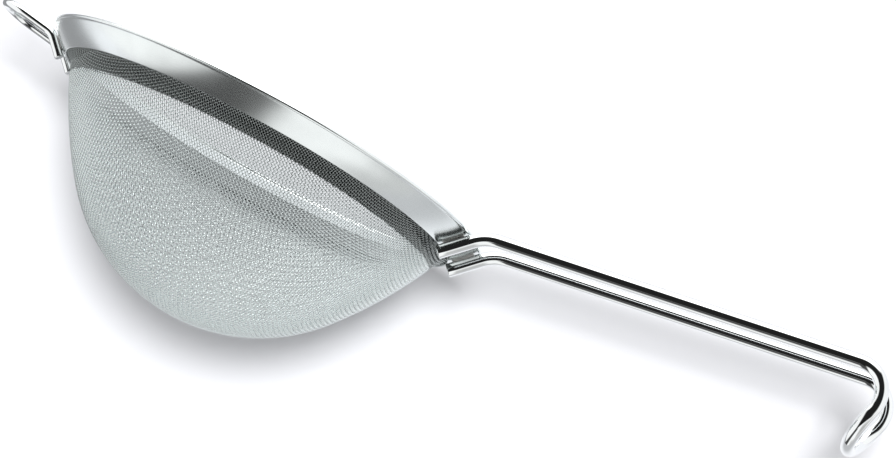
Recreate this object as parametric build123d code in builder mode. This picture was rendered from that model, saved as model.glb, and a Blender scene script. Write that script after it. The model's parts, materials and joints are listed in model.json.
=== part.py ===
# Wire-mesh bowl strainer with a double-rod handle and a pot rest, all stainless steel.
# Millimetres. The mouth faces up (+Z) and its plane is Z = 0, with the origin at the mouth's centre.
# The handle runs out along +X and the pot-rest loop along -X. The object is symmetric about XZ.
from build123d import *
from math import asin, atan2, cos, degrees, radians, sin, sqrt, tan
import os

os.makedirs("parts", exist_ok=True)

# Rim band: a flared strip of sheet, slightly hollow on the inside, with a thin hem round its top
rim_dia = 200.0
hem_dia = 1.6
sheet = 0.8
band_section_radius = 48.5  # outside face of the strip, seen in section
band_top_lean = 52.6  # degrees from level, at the hem
band_low_lean = 36.8  # degrees from level, at the lower edge

# Mesh bowl: woven cloth, built as a thin shell between the outer and inner crowns of its wires
cloth = 0.9
bowl_radius = 77.4
bowl_depth = 84.5
flank_start_share = 0.775  # of bowl_radius: where the round bottom turns into the flatter flank
neck_run = 3.6  # of the straight neck that lies along the clamp ring, below the band
seat_gap = 0.05  # between the layers that are clamped together

# Openings of the bowl: a plain square grid, laid with the weave, that stands for the fine mesh
grid_across = 12  # openings from edge to edge of the flat cloth
grid_bias = 52.0  # degrees from the handle to the first wires
opening_share = 0.756  # of the grid's spacing, so that as much of it is open as of the real cloth
grid_edge = 2.5  # closed cloth left below the neck
cut_reach = 3.0  # of an opening's cutter, to each side of the cloth

# Clamp ring: grips the cloth against the inside of the band and ends in a straight flange
ring_grip_arc = 3.1
ring_flange = 11.8  # length of the straight part, seen in section

# Handle: one rod, from the first weld out to the hook and back to the second weld
rod_dia = 6.0
rod_spacing = 32.0
rod_leg_slope = 44.3  # degrees
rod_leg_below = 7.8  # past the middle of the weld, down the band
rod_leg_above = 12.85  # from the middle of the weld to the corner of the first bend
rod_bend_radius = 18.0
handle_rise = 8.46  # degrees
grip_length = 162.4  # from the corner of the first bend to where the hook starts to bend
hook_bend_radius = 12.3
hook_turn = 114.0  # degrees
hook_straight = 1.26
hook_tip_radius = 15.5

# Pot rest: a U of wire welded on the side away from the handle
wire_dia = 4.0
wire_spacing = 24.0
wire_leg_slope = 44.5  # degrees
wire_leg_below = 6.2
wire_leg_above = 5.4
wire_bend_radius = 8.0
loop_rise = 9.0  # degrees
loop_stand_out = 25.8  # from the rim's outside to the middle of the wire at the tip
loop_tip_radius = 11.5

# Welds: a seam down both sides of each leg where it lies against the band
weld_gap = 0.15
weld_sink = 0.7  # depth of the seam's profile before the band is cut out of it
weld_cut_lean = 8.0  # degrees by which that cut runs past both edges of the band
weld_length_share = 1.7  # of the rod's diameter
weld_width_share = 0.62  # of the rod's diameter
weld_rise_share = 0.1  # of the rod's diameter


def at_section(rho: float, lean: float) -> tuple[float, float]:
    """Point in section, at radius rho from the band's section centre, where the arc leans by lean."""
    return (section_r + rho * sin(radians(lean)), section_z - rho * cos(radians(lean)))


def on_neck(rho: float, run: float) -> tuple[float, float]:
    """Point at a run along the straight line that leaves the arc of radius rho at its lower end."""
    start_r, start_z = at_section(rho, band_low_lean)
    return (start_r - run * cos(radians(band_low_lean)), start_z - run * sin(radians(band_low_lean)))


def neck_meets_flank(rho: float, radius: float) -> tuple[float, float]:
    """Point near the neck's end where that straight line meets the flank arc of the given radius."""
    start_r, start_z = at_section(rho, band_low_lean)
    off_r, off_z = start_r - flank_centre[0], start_z - flank_centre[1]
    nearest = off_r * cos(radians(band_low_lean)) + off_z * sin(radians(band_low_lean))
    half_chord = sqrt(nearest**2 - off_r**2 - off_z**2 + radius**2)
    run = min(nearest - half_chord, nearest + half_chord, key=lambda length: abs(length - neck_run))
    return on_neck(rho, run)


def arc_middle(start: tuple[float, float], end: tuple[float, float],
               centre: tuple[float, float], radius: float) -> tuple[float, float]:
    """Middle of the shorter arc from start to end about centre."""
    mid_r, mid_z = (start[0] + end[0]) / 2 - centre[0], (start[1] + end[1]) / 2 - centre[1]
    reach = sqrt(mid_r**2 + mid_z**2)
    return (centre[0] + mid_r * radius / reach, centre[1] + mid_z * radius / reach)


# Section of the band: concentric arcs about one centre, with the hem on the sheet's middle
hem_r = (rim_dia - hem_dia) / 2
hem_z = -hem_dia / 2
band_middle_radius = band_section_radius - sheet / 2
section_r = hem_r - band_middle_radius * sin(radians(band_top_lean))
section_z = hem_z + band_middle_radius * cos(radians(band_top_lean))
section_centre = (section_r, section_z)
band_inner = band_section_radius - sheet
cloth_outer = band_inner - seat_gap
cloth_inner = cloth_outer - cloth
ring_outer = cloth_inner - seat_gap
ring_inner = ring_outer - sheet
ring_top_lean = band_low_lean + degrees(ring_grip_arc / ring_outer)

with BuildPart() as rim_band:
    with BuildSketch(Plane.XZ):
        with BuildLine():
            top_out = at_section(band_section_radius, band_top_lean)
            low_out = at_section(band_section_radius, band_low_lean)
            low_in = at_section(band_inner, band_low_lean)
            top_in = at_section(band_inner, band_top_lean)
            ThreePointArc(top_out, arc_middle(top_out, low_out, section_centre, band_section_radius), low_out)
            Line(low_out, low_in)
            ThreePointArc(low_in, arc_middle(low_in, top_in, section_centre, band_inner), top_in)
            Line(top_in, top_out)
        make_face()
        with Locations((hem_r, hem_z)):
            Circle(hem_dia / 2)
    revolve(axis=Axis.Z)

with BuildPart() as clamp_ring:
    with BuildSketch(Plane.XZ):
        with BuildLine():
            top_out = at_section(ring_outer, ring_top_lean)
            low_out = at_section(ring_outer, band_low_lean)
            low_in = at_section(ring_inner, band_low_lean)
            top_in = at_section(ring_inner, ring_top_lean)
            edge_out = on_neck(ring_outer, ring_flange)
            edge_in = on_neck(ring_inner, ring_flange)
            ThreePointArc(top_out, arc_middle(top_out, low_out, section_centre, ring_outer), low_out)
            Line(low_out, edge_out)
            Line(edge_out, edge_in)
            Line(edge_in, low_in)
            ThreePointArc(low_in, arc_middle(low_in, top_in, section_centre, ring_inner), top_in)
            Line(top_in, top_out)
        make_face()
    revolve(axis=Axis.Z)

# Bowl: a round bottom, a flatter flank tangent to it, and a neck that lies along the clamp ring
bottom_z = bowl_radius - bowl_depth
bottom_centre = (0, bottom_z)
turn_sin = flank_start_share
turn_cos = sqrt(1 - turn_sin**2)
notch_r, notch_z = on_neck(cloth_outer, neck_run)
rise_r = notch_r - bowl_radius * turn_sin
rise_z = notch_z - bottom_z + bowl_radius * turn_cos
flank_radius = (rise_r**2 + rise_z**2) / 2 / (rise_z * turn_cos - rise_r * turn_sin)
flank_centre = ((bowl_radius - flank_radius) * turn_sin, bottom_z + (flank_radius - bowl_radius) * turn_cos)
print("flank radius", round(flank_radius, 2))


def bowl_corners(inset: float) -> tuple[tuple[float, float], ...]:
    """Corners of the bowl's section, inset from its outer face, from the pole up to the clamped edge."""
    pole = (0, inset - bowl_depth)
    turn_r = (bowl_radius - inset) * turn_sin
    turn_z = bottom_z - (bowl_radius - inset) * turn_cos
    notch = neck_meets_flank(cloth_outer - inset, abs(flank_radius - inset))
    grip_low = at_section(cloth_outer - inset, band_low_lean)
    grip_top = at_section(cloth_outer - inset, ring_top_lean)
    return pole, (turn_r, turn_z), notch, grip_low, grip_top


with BuildPart() as mesh_bowl:
    with BuildSketch(Plane.XZ):
        with BuildLine():
            for inset in (0, cloth):
                pole, turn, notch, grip_low, grip_top = bowl_corners(inset)
                bottom_arc = bowl_radius - inset
                flank_arc = abs(flank_radius - inset)
                grip_arc = cloth_outer - inset
                ThreePointArc(pole, arc_middle(pole, turn, bottom_centre, bottom_arc), turn)
                ThreePointArc(turn, arc_middle(turn, notch, flank_centre, flank_arc), notch)
                Line(notch, grip_low)
                ThreePointArc(grip_low, arc_middle(grip_low, grip_top, section_centre, grip_arc), grip_top)
            Line(bowl_corners(0)[0], bowl_corners(cloth)[0])
            Line(bowl_corners(0)[-1], bowl_corners(cloth)[-1])
        make_face()
    revolve(axis=Axis.Z)

# Openings, cut where the cells of a flat square grid come to lie when the cloth is pressed to the bowl
bottom_run = bowl_radius * asin(turn_sin)
flank_start = atan2(turn_sin, turn_cos)
flank_turn = atan2(notch_r - flank_centre[0], flank_centre[1] - notch_z) - flank_start
grid_run = bottom_run + flank_radius * flank_turn - grid_edge
grid_spacing = 2 * grid_run / grid_across


def on_bowl(way: float, run: float) -> tuple[Vector, Vector]:
    """Point of the outer face at a run up from the pole along a way in radians, and the direction out."""
    if run < bottom_run:
        centre, radius, lean = bottom_centre, bowl_radius, run / bowl_radius
    else:
        centre, radius, lean = flank_centre, flank_radius, flank_start + (run - bottom_run) / flank_radius
    reach = centre[0] + radius * sin(lean)
    point = Vector(reach * cos(way), reach * sin(way), centre[1] - radius * cos(lean))
    return point, Vector(sin(lean) * cos(way), sin(lean) * sin(way), -cos(lean))


def pressed(column: float, row: float) -> tuple[Vector, Vector]:
    """Where a place on the flat grid, counted in spacings from its middle, comes to lie."""
    run = min(grid_run, grid_spacing * sqrt(column**2 + row**2))
    return on_bowl(atan2(row, column) + radians(grid_bias), run)


cells = GridLocations(1, 1, grid_across, grid_across).locations  # one spacing apart both ways
cell_corners = ((-1, -1), (1, -1), (1, 1), (-1, 1))
with mesh_bowl:
    for cell in cells:
        column, row = cell.position.X, cell.position.Y
        if sqrt(column**2 + row**2) > grid_across / 2:
            continue
        middle, out = pressed(column, row)
        cutter_face = Plane(origin=middle + cut_reach * out, z_dir=out)
        with BuildSketch(cutter_face):
            with BuildLine():
                corners = []
                for to_column, to_row in cell_corners:
                    corner, _ = pressed(column + opening_share / 2 * to_column, row + opening_share / 2 * to_row)
                    flat_corner = cutter_face.to_local_coords(corner)
                    corners.append((flat_corner.X, flat_corner.Y))
                Polyline(*corners, close=True)
            make_face()
    extrude(amount=-2 * cut_reach, mode=Mode.SUBTRACT)
side_count = len(mesh_bowl.faces().filter_by(GeomType.PLANE))
print("bowl solids", len(mesh_bowl.solids()), "opening sides", side_count, "volume", round(mesh_bowl.part.volume, 1))

# Seats of the legs: the middle of the band's outside face and its direction there
seat_lean = (band_top_lean + band_low_lean) / 2
seat_r, seat_z = at_section(band_section_radius, seat_lean)
normal_r, normal_z = sin(radians(seat_lean)), -cos(radians(seat_lean))


def leg_pass(stock_dia: float, spacing: float) -> tuple[float, float]:
    """X and Z at which the axis of a leg passes the middle of its weld."""
    stand_off = stock_dia / 2 + weld_gap
    axis_r = seat_r + stand_off * normal_r
    return sqrt(axis_r**2 - (spacing / 2)**2), seat_z + stand_off * normal_z


def along(start: tuple[float, float], distance: float, slope: float) -> tuple[float, float]:
    """Point at a distance from start in the XZ plane, along a slope in degrees."""
    return start[0] + distance * cos(radians(slope)), start[1] + distance * sin(radians(slope))


def bent_pair(corners: list[tuple[float, float]], spacing: float, side: int) -> list[tuple[float, float, float]]:
    """The corners at one side of XZ, then the same ones back along the other side."""
    out = [(side * x, -spacing / 2, z) for x, z in corners]
    back = [(side * x, spacing / 2, z) for x, z in reversed(corners)]
    return out + back


# Handle rod
rod_pass = leg_pass(rod_dia, rod_spacing)
rod_end = along(rod_pass, -rod_leg_below, rod_leg_slope)
rod_corner = along(rod_pass, rod_leg_above, rod_leg_slope)
hook_tangent = hook_bend_radius * tan(radians(hook_turn / 2))
hook_corner = along(rod_corner, grip_length + hook_tangent, handle_rise)
hook_tip = along(hook_corner, hook_tangent + hook_straight + hook_tip_radius, handle_rise - hook_turn)
rod_corners = [rod_end, rod_corner, hook_corner, hook_tip]
rod_radii = [rod_bend_radius, hook_bend_radius, hook_tip_radius]

with BuildPart() as handle_rod:
    with BuildLine() as rod_path:
        FilletPolyline(*bent_pair(rod_corners, rod_spacing, 1), radius=rod_radii + rod_radii[::-1])
    with BuildSketch(Plane(rod_path.line @ 0, z_dir=rod_path.line % 0)):
        Circle(rod_dia / 2)
    sweep()

# Pot-rest loop
wire_pass = leg_pass(wire_dia, wire_spacing)
wire_end = along(wire_pass, -wire_leg_below, wire_leg_slope)
wire_corner = along(wire_pass, wire_leg_above, wire_leg_slope)
bar_length = (rim_dia / 2 + loop_stand_out - wire_corner[0]) / cos(radians(loop_rise))
wire_corners = [wire_end, wire_corner, along(wire_corner, bar_length, loop_rise)]
wire_radii = [wire_bend_radius, loop_tip_radius]

with BuildPart() as rest_loop:
    with BuildLine() as wire_path:
        FilletPolyline(*bent_pair(wire_corners, wire_spacing, -1), radius=wire_radii + wire_radii[::-1])
    with BuildSketch(Plane(wire_path.line @ 0, z_dir=wire_path.line % 0)):
        Circle(wire_dia / 2)
    sweep()


def seam_plane(stock_dia: float, spacing: float, slope: float, side: int, hand: int) -> Plane:
    """Plane across a seam, at its middle on the band's face, with local Y square to that face."""
    stand_off = stock_dia / 2 + weld_gap
    turn = asin(spacing / 2 / (seat_r + stand_off * normal_r))
    out = Vector(side * cos(turn), hand * sin(turn), 0)
    face_normal = Vector(out.X * normal_r, out.Y * normal_r, normal_z)
    leg_way = Vector(side * cos(radians(slope)), 0, sin(radians(slope)))
    seat = Vector(out.X * seat_r, out.Y * seat_r, seat_z)
    return Plane(origin=seat, x_dir=face_normal.cross(leg_way), z_dir=leg_way)


# Cutter for the seams: the band's outside face, run on past its edges, and the space behind it
cut_inner = band_section_radius - 2 * weld_sink
with BuildPart() as seam_cutter:
    with BuildSketch(Plane.XZ):
        with BuildLine():
            top_out = at_section(band_section_radius, band_top_lean + weld_cut_lean)
            low_out = at_section(band_section_radius, band_low_lean - weld_cut_lean)
            low_in = at_section(cut_inner, band_low_lean - weld_cut_lean)
            top_in = at_section(cut_inner, band_top_lean + weld_cut_lean)
            ThreePointArc(top_out, arc_middle(top_out, low_out, section_centre, band_section_radius), low_out)
            Line(low_out, low_in)
            ThreePointArc(low_in, arc_middle(low_in, top_in, section_centre, cut_inner), top_in)
            Line(top_in, top_out)
        make_face()
    revolve(axis=Axis.Z)

# Weld seams: a pad across the joint, with the leg and the band's face cut out of it
seams = {
    "handle_weld_near": (rod_dia, rod_spacing, rod_leg_slope, 1, -1, handle_rod),
    "handle_weld_far": (rod_dia, rod_spacing, rod_leg_slope, 1, 1, handle_rod),
    "loop_weld_near": (wire_dia, wire_spacing, wire_leg_slope, -1, -1, rest_loop),
    "loop_weld_far": (wire_dia, wire_spacing, wire_leg_slope, -1, 1, rest_loop),
}
for seam_name, (stock_dia, spacing, slope, side, hand, leg) in seams.items():
    with BuildPart() as seam:
        across = seam_plane(stock_dia, spacing, slope, side, hand)
        outward = 1 if across.y_dir.Z < 0 else -1
        rise = weld_gap + weld_rise_share * stock_dia
        with BuildSketch(across):
            with Locations((0, outward * (rise - weld_sink) / 2)):
                Rectangle(weld_width_share * stock_dia, rise + weld_sink)
        extrude(amount=weld_length_share * stock_dia / 2, both=True)
        pad_ends = seam.edges().filter_by(lambda edge: abs((edge % 0).dot(across.y_dir)) > cos(radians(1)))
        fillet(pad_ends, weld_width_share * stock_dia / 3)
        add(leg.part, mode=Mode.SUBTRACT)
        add(seam_cutter.part, mode=Mode.SUBTRACT)
    seam.part.label = seam_name
    export_step(seam.part, f"parts/{seam_name}.step")
    print(seam_name, "solids", len(seam.solids()), "volume", round(seam.part.volume, 2))

rim_band.part.label = "rim_band"
clamp_ring.part.label = "clamp_ring"
mesh_bowl.part.label = "mesh_bowl"
handle_rod.part.label = "handle_rod"
rest_loop.part.label = "rest_loop"
export_step(rim_band.part, "parts/rim_band.step")
export_step(clamp_ring.part, "parts/clamp_ring.step")
export_step(mesh_bowl.part, "parts/mesh_bowl.step")
export_step(handle_rod.part, "parts/handle_rod.step")
export_step(rest_loop.part, "parts/rest_loop.step")
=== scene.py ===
"""Stainless wire-mesh bowl strainer, dressed for a studio photograph.

The scene is in metres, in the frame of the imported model. The strainer's parts keep their sizes in
millimetres, as their docstrings say.
"""

import json
import logging
import math
from dataclasses import dataclass, field, replace
from enum import Enum
from typing import Any, Sequence

import bpy
import numpy as np
from mathutils import Matrix, Vector

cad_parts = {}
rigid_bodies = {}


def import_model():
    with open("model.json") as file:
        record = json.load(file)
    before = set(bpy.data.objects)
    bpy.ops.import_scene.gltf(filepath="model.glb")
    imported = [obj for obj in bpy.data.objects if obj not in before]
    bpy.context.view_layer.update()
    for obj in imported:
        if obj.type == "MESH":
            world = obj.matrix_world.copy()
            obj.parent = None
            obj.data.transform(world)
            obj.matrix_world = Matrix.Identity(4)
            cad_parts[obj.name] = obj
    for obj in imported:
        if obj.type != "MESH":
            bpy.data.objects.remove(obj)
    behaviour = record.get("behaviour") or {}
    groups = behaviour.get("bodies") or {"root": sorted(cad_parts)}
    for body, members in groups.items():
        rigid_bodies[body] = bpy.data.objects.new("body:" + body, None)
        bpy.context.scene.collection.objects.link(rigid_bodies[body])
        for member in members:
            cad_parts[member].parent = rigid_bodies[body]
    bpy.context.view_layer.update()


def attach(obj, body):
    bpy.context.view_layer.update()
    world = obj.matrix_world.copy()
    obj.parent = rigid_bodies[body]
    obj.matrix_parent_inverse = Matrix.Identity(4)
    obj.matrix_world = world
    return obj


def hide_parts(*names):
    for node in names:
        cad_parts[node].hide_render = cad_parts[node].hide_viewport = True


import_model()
MM = 0.001
Array = np.ndarray
Colour = tuple[float, float, float]
Edge = tuple[float, float]
log = logging.getLogger("strainer")


class Wave(Enum):
    """The two directions of the cloth's wires, and the side of a crossing on which each starts."""

    WARP = 1
    WEFT = -1


# Shader maths


class Val:
    """A shader socket, or a number, that takes part in plain arithmetic."""

    def __init__(self, tree: "Nodes", source: Any) -> None:
        """Keeps the socket or number.

        Args:
            tree: The material's node maker.
            source: An output socket or a number.
        """
        self.tree = tree
        self.source = source

    def _math(self, operation: str, *values: Any) -> "Val":
        """A Math node over values."""
        inputs = {index: value for index, value in enumerate(values)}
        return self.tree.add("ShaderNodeMath", {"operation": operation}, inputs).out()

    def __add__(self, other: Any) -> "Val":
        """Sum."""
        return self._math("ADD", self, other)

    __radd__ = __add__

    def __sub__(self, other: Any) -> "Val":
        """Difference."""
        return self._math("SUBTRACT", self, other)

    def __rsub__(self, other: Any) -> "Val":
        """Difference, reflected."""
        return self._math("SUBTRACT", other, self)

    def __mul__(self, other: Any) -> "Val":
        """Product."""
        return self._math("MULTIPLY", self, other)

    __rmul__ = __mul__

    def __truediv__(self, other: Any) -> "Val":
        """Quotient."""
        return self._math("DIVIDE", self, other)

    def clamped(self) -> "Val":
        """The value held between 0 and 1."""
        return self.tree.add("ShaderNodeClamp", {}, {"Value": self}).out()

    def smooth(self, low: float, high: float) -> "Val":
        """0 below low, 1 above high and a smooth step between them."""
        inputs = {"Value": self, "From Min": low, "From Max": high}
        return self.tree.add("ShaderNodeMapRange", {"interpolation_type": "SMOOTHSTEP"}, inputs).out()


class Made:
    """A node that was just added, for reading its outputs."""

    def __init__(self, tree: "Nodes", node: bpy.types.Node) -> None:
        """Keeps the node and its maker."""
        self.tree = tree
        self.node = node

    def out(self, name: str | int = 0) -> Val:
        """One output, by name or by number."""
        return Val(self.tree, self.node.outputs[name])


class Nodes:
    """Makes the nodes of one material or world."""

    def __init__(self, tree: bpy.types.NodeTree) -> None:
        """Empties the tree.

        Args:
            tree: The node tree to fill.
        """
        self.tree = tree
        tree.nodes.clear()

    def add(self, kind: str, settings: dict[str, Any], inputs: dict[Any, Any]) -> Made:
        """Adds any node.

        Args:
            kind: The node's type name.
            settings: Its properties, such as a Math node's operation, which are set first.
            inputs: Values, colours or Val links by the socket's name or number.

        Returns:
            The node, for its outputs.
        """
        node = self.tree.nodes.new(kind)
        for name, value in settings.items():
            setattr(node, name, value)
        for name, value in inputs.items():
            socket = node.inputs[name]
            if isinstance(value, Val) and not isinstance(value.source, (int, float)):
                self.tree.links.new(value.source, socket)
            else:
                socket.default_value = value.source if isinstance(value, Val) else value
        return Made(self, node)

    def mix(self, share: Val, plain: Colour | Val, other: Colour) -> Val:
        """A colour between two.

        Args:
            share: 0 for the first colour, 1 for the second.
            plain: The first colour.
            other: The second colour.

        Returns:
            The mixed colour.
        """
        first = plain if isinstance(plain, Val) else (*plain, 1.0)
        inputs = {0: share, 6: first, 7: (*other, 1.0)}
        return self.add("ShaderNodeMix", {"data_type": "RGBA"}, inputs).out(2)

    def along(self, way: Val, axis: Sequence[float]) -> Val:
        """How far a place or direction reaches along an axis."""
        inputs = {0: way, 1: tuple(axis)}
        return self.add("ShaderNodeVectorMath", {"operation": "DOT_PRODUCT"}, inputs).out("Value")


def new_material(name: str) -> tuple[bpy.types.Material, Nodes]:
    """A material with an empty node tree.

    Args:
        name: The material's name.

    Returns:
        The material and the maker of its nodes.
    """
    material = bpy.data.materials.new(name)
    material.use_nodes = True
    return material, Nodes(material.node_tree)


# Finishes


@dataclass(frozen=True)
class Steel:
    """Bright stainless steel, with the marks that its making leaves on it.

    Attributes:
        name: The material's name.
        tint: Base colour.
        gloss: Roughness where the polish is best.
        haze: How much rougher the dull patches are.
        streak: Size, in metres, of the polishing lines.
        grain: Strength of the polishing lines in the surface.
        dull_share: How bright the dull patches are beside the polished ones.
        dull_edge: Where the soft patches start and end to darken the steel.
        haze_edge: Where the soft patches start and end to roughen it.
        line_share: The lines' share in the haze; the soft patches have the rest.
        patch_scale: Soft patches to the metre.
        scuff_scale: Fine scuffs to the metre.
        scuff_share: The scuffs' share in the relief; the lines have the rest.
        details: How fine the lines, the patches and the scuffs are drawn.
        relief: Height of the relief, in metres.
    """

    name: str
    tint: Colour
    gloss: float
    haze: float
    streak: float
    grain: float
    dull_share: float = 0.9
    dull_edge: Edge = (0.35, 0.75)
    haze_edge: Edge = (0.42, 0.70)
    line_share: float = 0.55
    patch_scale: float = 38.0
    scuff_scale: float = 420.0
    scuff_share: float = 0.2
    details: tuple[float, float, float] = (6.0, 4.0, 3.0)
    relief: float = 0.02 * MM

    def shine(self, nodes: Nodes, from_axis: Val, up: Val, clouds: Val) -> Val:
        """The base colour over the surface.

        Args:
            nodes: The material's node maker.
            from_axis: Distance from the strainer's axis.
            up: Height.
            clouds: Soft patches, 0 to 1.

        Returns:
            The colour.
        """
        dull = tuple(channel * self.dull_share for channel in self.tint)
        return nodes.mix(clouds.smooth(*self.dull_edge), self.tint, dull)

    def material(self) -> bpy.types.Material:
        """The finish, with polishing lines that run round the strainer's axis.

        Returns:
            The new material.
        """
        material, nodes = new_material(self.name)
        place = nodes.add("ShaderNodeTexCoord", {}, {}).out("Object")
        parts = nodes.add("ShaderNodeSeparateXYZ", {}, {0: place})
        across, along, up = parts.out("X"), parts.out("Y"), parts.out("Z")
        squares = across * across + along * along
        from_axis = nodes.add("ShaderNodeMath", {"operation": "SQRT"}, {0: squares}).out()
        scaled = {"X": from_axis / self.streak, "Y": up / self.streak}
        section = nodes.add("ShaderNodeCombineXYZ", {}, scaled).out()
        line_detail, patch_detail, scuff_detail = self.details
        lines = self.marks(nodes, section, 1.0, line_detail)
        clouds = self.marks(nodes, place, self.patch_scale, patch_detail)
        scuffs = self.marks(nodes, place, self.scuff_scale, scuff_detail)
        patches = clouds.smooth(*self.haze_edge)
        rough = self.gloss + self.haze * (self.line_share * lines + (1 - self.line_share) * patches)
        height = lines * (1 - self.scuff_share) + scuffs * self.scuff_share
        bump_inputs = {"Height": height, "Strength": self.grain, "Distance": self.relief}
        bump = nodes.add("ShaderNodeBump", {}, bump_inputs).out()
        colour = self.shine(nodes, from_axis, up, clouds)
        shader = nodes.add("ShaderNodeBsdfPrincipled", {}, {
            "Base Color": colour, "Metallic": 1.0, "Roughness": rough, "Normal": bump,
        }).out()
        nodes.add("ShaderNodeOutputMaterial", {}, {"Surface": shader})
        return material

    @staticmethod
    def marks(nodes: Nodes, place: Val, scale: float, detail: float) -> Val:
        """Uneven marks at a scale, 0 to 1."""
        return nodes.add("ShaderNodeTexNoise", {}, {"Vector": place, "Scale": scale, "Detail": detail}).out()


@dataclass(frozen=True)
class ShadedSteel(Steel):
    """Steel sheet of a flared ring whose outer face is painted dark as shade, because it lies in shade
    against the cloth.

    Attributes:
        lean: Lean of the ring's section, in degrees; the rim gives it.
        split: Distance, square to that lean, that parts the outer face from the inner one; the rim gives it.
        blur: Half the width, in metres, over which one face turns into the other.
        shade: Base colour of the outer face, a painted shade.
    """

    lean: float = 0.0
    split: float = 0.0
    blur: float = 0.12 * MM
    shade: Colour = (0.02, 0.0215, 0.021)

    def shine(self, nodes: Nodes, from_axis: Val, up: Val, clouds: Val) -> Val:
        """The base colour: the plain one inside and the painted shade outside.

        Args:
            nodes: The material's node maker.
            from_axis: Distance from the strainer's axis.
            up: Height.
            clouds: Soft patches, 0 to 1.

        Returns:
            The colour.
        """
        inside = super().shine(nodes, from_axis, up, clouds)
        angle = math.radians(self.lean)
        off = from_axis * math.sin(angle) - up * math.cos(angle)
        # painted shade: the outer face turns to the dark shade colour
        outside = off.smooth(self.split - self.blur, self.split + self.blur)
        return nodes.mix(outside, inside, self.shade)


@dataclass(frozen=True)
class PlainSteel:
    """Wire too thin to show any marks; bright, or darkened as painted shade.

    Attributes:
        name: The material's name.
        tint: Base colour.
        gloss: Roughness.
    """

    name: str
    tint: Colour
    gloss: float

    def material(self) -> bpy.types.Material:
        """The finish.

        Returns:
            The new material.
        """
        material, nodes = new_material(self.name)
        values = {"Base Color": (*self.tint, 1.0), "Metallic": 1.0, "Roughness": self.gloss}
        shader = nodes.add("ShaderNodeBsdfPrincipled", {}, values).out()
        nodes.add("ShaderNodeOutputMaterial", {}, {"Surface": shader})
        return material


SHEET = Steel(
    "polished_sheet", tint=(0.82, 0.86, 0.855), gloss=0.18, haze=0.08, streak=0.35 * MM, grain=0.25,
)
# The ring's dark tint is painted shade for the shade it lies in behind the cloth; its outer face gets a
# darker painted shade.
PAINTED_SHADE_RING = ShadedSteel(
    "ring_sheet", tint=(0.16, 0.17, 0.168), gloss=0.16, haze=0.10, streak=0.35 * MM, grain=0.25,
)
ROD = Steel("mirror_rod", tint=(0.86, 0.88, 0.88), gloss=0.03, haze=0.04, streak=0.6 * MM, grain=0.06)
SEAM = Steel("weld_seam", tint=(0.70, 0.69, 0.67), gloss=0.22, haze=0.22, streak=0.5 * MM, grain=0.6)
WIRE = PlainSteel("woven_wire", tint=(0.74, 0.79, 0.785), gloss=0.12)
# Darker copy of the woven wire for the cloth beside the clamp ring: painted shade.
PAINTED_SHADE_WIRE = PlainSteel("shaded_wire", tint=(0.34, 0.365, 0.36), gloss=0.14)


# Meshes


def make_object(
    name: str, points: Array, faces: list[Sequence[int]], smooth: bool = True,
) -> bpy.types.Object:
    """A mesh object from points and faces.

    Args:
        name: The piece's name.
        points: Vertices, one per row, in metres.
        faces: Vertex numbers of each face.
        smooth: True for smooth shading.

    Returns:
        The new object, linked to the scene.
    """
    mesh = bpy.data.meshes.new(name)
    mesh.from_pydata(points.tolist(), [], faces)
    mesh.polygons.foreach_set("use_smooth", [smooth] * len(mesh.polygons))
    mesh.update()
    piece = bpy.data.objects.new(name, mesh)
    bpy.context.scene.collection.objects.link(piece)
    return piece


def dress(piece: bpy.types.Object, finish: bpy.types.Material, slot: str, *nodes: str) -> None:
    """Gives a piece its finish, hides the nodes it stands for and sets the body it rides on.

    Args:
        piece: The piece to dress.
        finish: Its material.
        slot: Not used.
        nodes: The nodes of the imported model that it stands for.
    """
    piece.data.materials.clear()
    piece.data.materials.append(finish)
    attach(piece, "root")
    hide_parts(*nodes)
    log.info("%s: %d faces, stands for %s", piece.name, len(piece.data.polygons), ", ".join(nodes))


def joined(index: Array) -> Array:
    """Faces between each ring of points and the next; each ring closes on itself.

    Args:
        index: Vertex numbers, one ring per row.

    Returns:
        Four vertex numbers for each face, by ring and by place round it.
    """
    low, high = index[:-1], index[1:]
    return np.stack([low, np.roll(low, -1, axis=1), np.roll(high, -1, axis=1), high], axis=-1)


def turned(name: str, section: Array, steps: int) -> bpy.types.Object:
    """A closed section turned round the Z axis.

    Args:
        name: The piece's name.
        section: Closed outline as rows of distance from the axis and height, anticlockwise, in metres.
        steps: How many steps make a full turn.

    Returns:
        The turned piece.
    """
    count = len(section)
    angles = np.linspace(0, 2 * np.pi, steps, endpoint=False)
    out, up = section.T
    ring = np.stack([
        np.outer(np.cos(angles), out),
        np.outer(np.sin(angles), out),
        np.broadcast_to(up, (steps, count)),
    ], axis=-1)
    index = np.arange(steps * count).reshape(steps, count)
    after = np.roll(index, -1, axis=0)
    quads = np.stack([index, after, np.roll(after, -1, axis=1), np.roll(index, -1, axis=1)], axis=-1)
    return make_object(name, ring.reshape(-1, 3), quads.reshape(-1, 4).tolist())


def onward(start: Array, distance: float, slope: float) -> Array:
    """A point at a distance from start along a slope in degrees, in section."""
    return start + distance * slope_way(slope)


def slope_way(slope: float) -> Array:
    """The direction of a slope in degrees, in section."""
    return np.array([math.cos(math.radians(slope)), math.sin(math.radians(slope))])


def arc(centre: Sequence[float], radius: float, start: float, end: float, steps: int) -> Array:
    """Points of an arc in section, its angles in degrees from level outwards."""
    angles = np.radians(np.linspace(start, end, steps))
    return np.stack([centre[0] + radius * np.cos(angles), centre[1] + radius * np.sin(angles)], axis=-1)


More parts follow.
